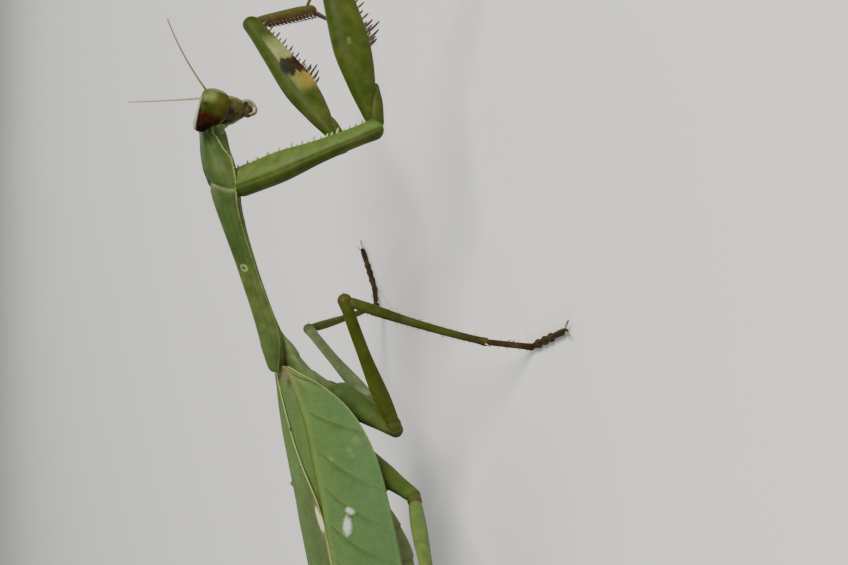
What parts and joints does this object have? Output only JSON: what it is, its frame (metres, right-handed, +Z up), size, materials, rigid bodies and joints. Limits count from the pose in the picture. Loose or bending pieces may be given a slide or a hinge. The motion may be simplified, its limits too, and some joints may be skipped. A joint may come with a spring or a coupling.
{
  "type": "praying mantis",
  "caption": "Life-size green adult female praying mantis at rest, forelegs raised and wings folded over the abdomen, standing on its walking feet.",
  "frame": {"origin": "on the floor under the middle of the whole animal's bounding box, feelers and feet included", "axes": "+Z up, the head faces -Y, the animal's left side is +X"},
  "size_m": [0.0887, 0.118, 0.0447],
  "materials": {
    "head_cuticle": "satin olive green to brown insect cuticle",
    "compound_eye": "smooth glossy olive green eye",
    "body_cuticle": "satin green insect cuticle",
    "leg_cuticle": "satin yellow green insect cuticle",
    "foot_cuticle": "dark brown insect cuticle",
    "wing_membrane": "leathery green fore wing with raised veins",
    "mouth_cuticle": "pale tan and green mouthparts",
    "antenna_cuticle": "pale straw coloured feeler"
  },
  "bodies": {
    "root": {"abdomen": "body_cuticle", "antenna_left": "antenna_cuticle", "antenna_right": "antenna_cuticle", "cercus_left": "body_cuticle", "cercus_right": "body_cuticle", "eye_left": "compound_eye", "eye_right": "compound_eye", "foreleg_left_coxa": "leg_cuticle", "foreleg_left_femur": "leg_cuticle", "foreleg_left_tarsus": "foot_cuticle", "foreleg_left_tibia": "leg_cuticle", "foreleg_right_coxa": "leg_cuticle", "foreleg_right_femur": "leg_cuticle", "foreleg_right_tarsus": "foot_cuticle", "foreleg_right_tibia": "leg_cuticle", "head": "head_cuticle", "hindleg_left_coxa": "leg_cuticle", "hindleg_left_femur": "leg_cuticle", "hindleg_left_tarsus": "foot_cuticle", "hindleg_left_tibia": "leg_cuticle", "hindleg_right_coxa": "leg_cuticle", "hindleg_right_femur": "leg_cuticle", "hindleg_right_tarsus": "foot_cuticle", "hindleg_right_tibia": "leg_cuticle", "midleg_left_coxa": "leg_cuticle", "midleg_left_femur": "leg_cuticle", "midleg_left_tarsus": "foot_cuticle", "midleg_left_tibia": "leg_cuticle", "midleg_right_coxa": "leg_cuticle", "midleg_right_femur": "leg_cuticle", "midleg_right_tarsus": "foot_cuticle", "midleg_right_tibia": "leg_cuticle", "mouthparts": "mouth_cuticle", "neck": "body_cuticle", "pronotum": "body_cuticle", "thorax": "body_cuticle", "wing_left": "wing_membrane", "wing_right": "wing_membrane"}
  },
  "joints": []
}
